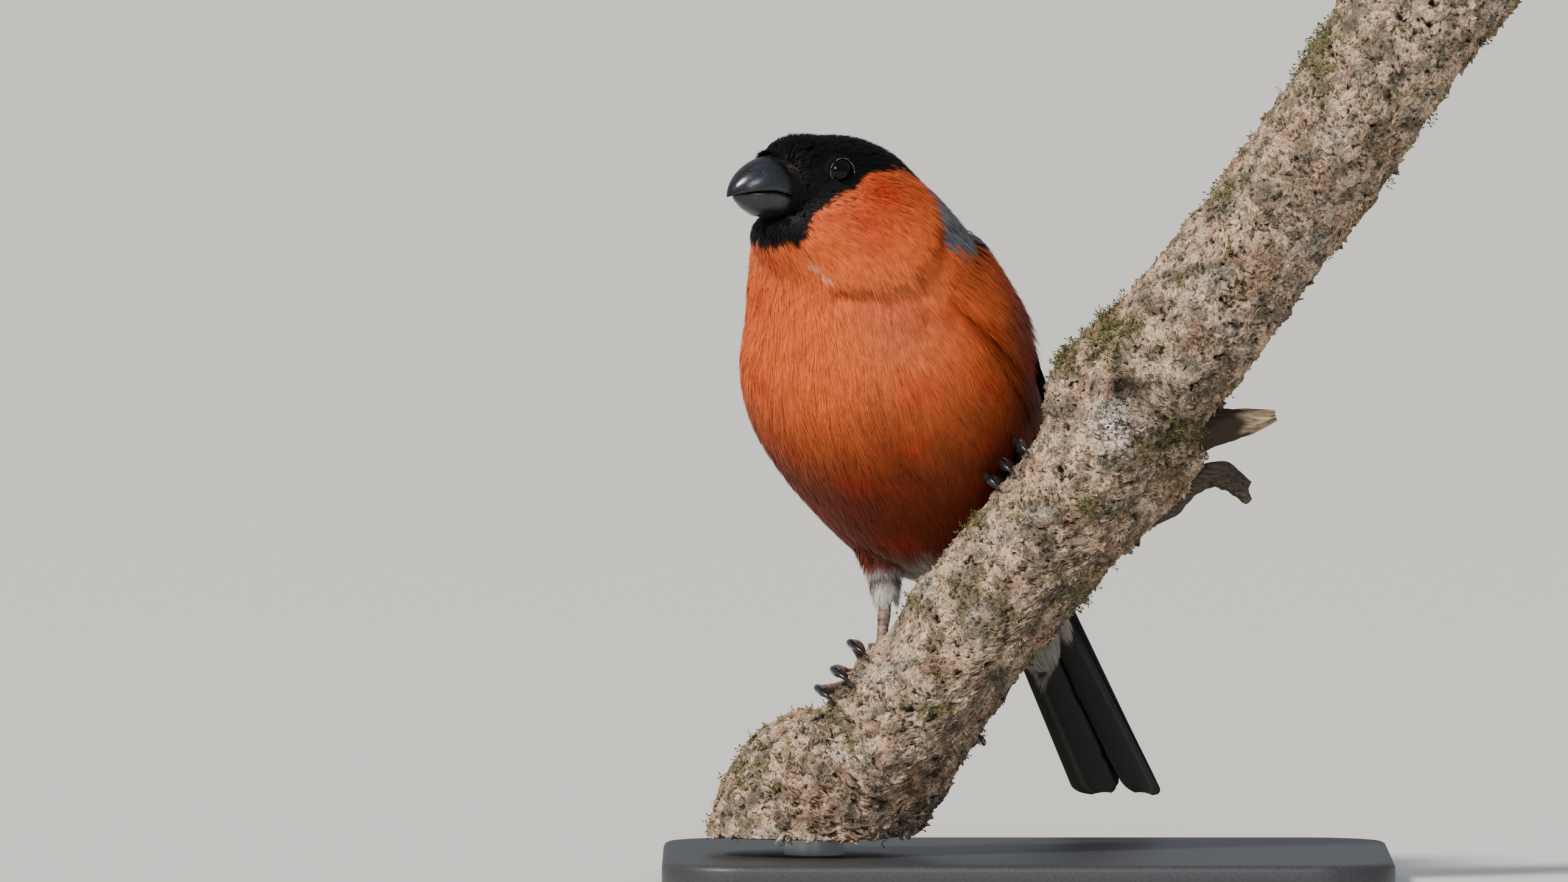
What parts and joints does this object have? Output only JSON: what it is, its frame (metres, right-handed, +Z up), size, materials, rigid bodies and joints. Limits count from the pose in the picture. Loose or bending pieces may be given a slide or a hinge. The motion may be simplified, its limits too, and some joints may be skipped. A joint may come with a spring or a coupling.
{
  "type": "perched bullfinch",
  "caption": "Life-size still figure of a male bullfinch perched on a sawn length of branch, carried by a plain flat display base.",
  "frame": {"origin": "middle of the display base's flat underside", "axes": "+Z up; -Y towards the viewer of the picture; +X to the viewer's right; the bird faces -X and a little -Y"},
  "size_m": [0.143, 0.1209, 0.1626],
  "materials": {
    "black_cap": "satin black feathers",
    "orange_feathers": "soft matt feathers",
    "bill": "satin blue-black horn",
    "eye": "wet gloss dark brown",
    "dark_feathers": "satin blue-black vanes",
    "thigh_feathers": "soft matt feathers",
    "foot": "dry scaly skin",
    "claw": "glossy horn",
    "bark": "rough flaking bark",
    "broken_wood": "pale splintered wood",
    "stand_base": "matt dark grey paint",
    "stand_rod": "brushed"
  },
  "bodies": {
    "root": {"stand_base": "stand_base", "stand_rod": "stand_rod", "perch": "bark", "perch_snag": "broken_wood", "perch_twig": "bark", "head": "black_cap", "neck": "orange_feathers", "torso": "orange_feathers", "bill_upper": "bill", "bill_lower": "bill", "tail": "dark_feathers", "eye_left": "eye", "eye_right": "eye", "wing_left": "dark_feathers", "wing_right": "dark_feathers", "thigh_left": "thigh_feathers", "thigh_right": "thigh_feathers", "foot_left": "foot", "foot_right": "foot", "claw_left_1": "claw", "claw_left_2": "claw", "claw_left_3": "claw", "claw_left_4": "claw", "claw_right_1": "claw", "claw_right_2": "claw", "claw_right_3": "claw", "claw_right_4": "claw"}
  },
  "joints": []
}
